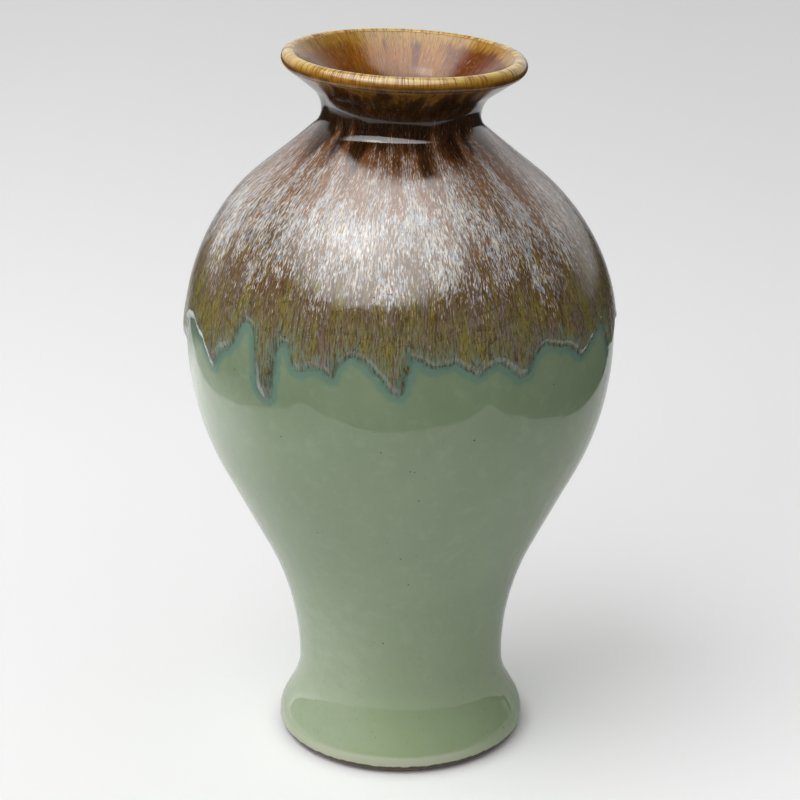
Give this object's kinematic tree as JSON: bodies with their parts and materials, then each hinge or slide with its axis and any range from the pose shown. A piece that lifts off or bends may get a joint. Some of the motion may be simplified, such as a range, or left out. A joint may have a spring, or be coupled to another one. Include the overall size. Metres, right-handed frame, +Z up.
{
  "type": "meiping vase",
  "caption": "Tall glazed stoneware vase with a spread foot, high full shoulder, narrow neck and wide rolled lip, celadon below and streaked brown glaze running down over the belly.",
  "frame": {"origin": "centre of the foot ring on the table", "axes": "+Z up the turning axis to the mouth, -Y towards the front seen in the picture, +X to the right of that view"},
  "size_m": [0.214, 0.2143, 0.355],
  "materials": {
    "stoneware_clay": "matte",
    "celadon_glaze": "gloss",
    "streaked_brown_glaze": "gloss",
    "honey_glaze": "gloss",
    "lining_glaze": "gloss"
  },
  "bodies": {
    "root": {"foot_section": "stoneware_clay", "lower_body_section": "stoneware_clay", "shoulder_section": "stoneware_clay", "neck_and_lip_section": "stoneware_clay", "green_celadon_glaze": "celadon_glaze", "streaked_brown_glaze": "streaked_brown_glaze", "lip_glaze_band": "honey_glaze", "inner_glaze_lining": "lining_glaze"}
  },
  "joints": []
}
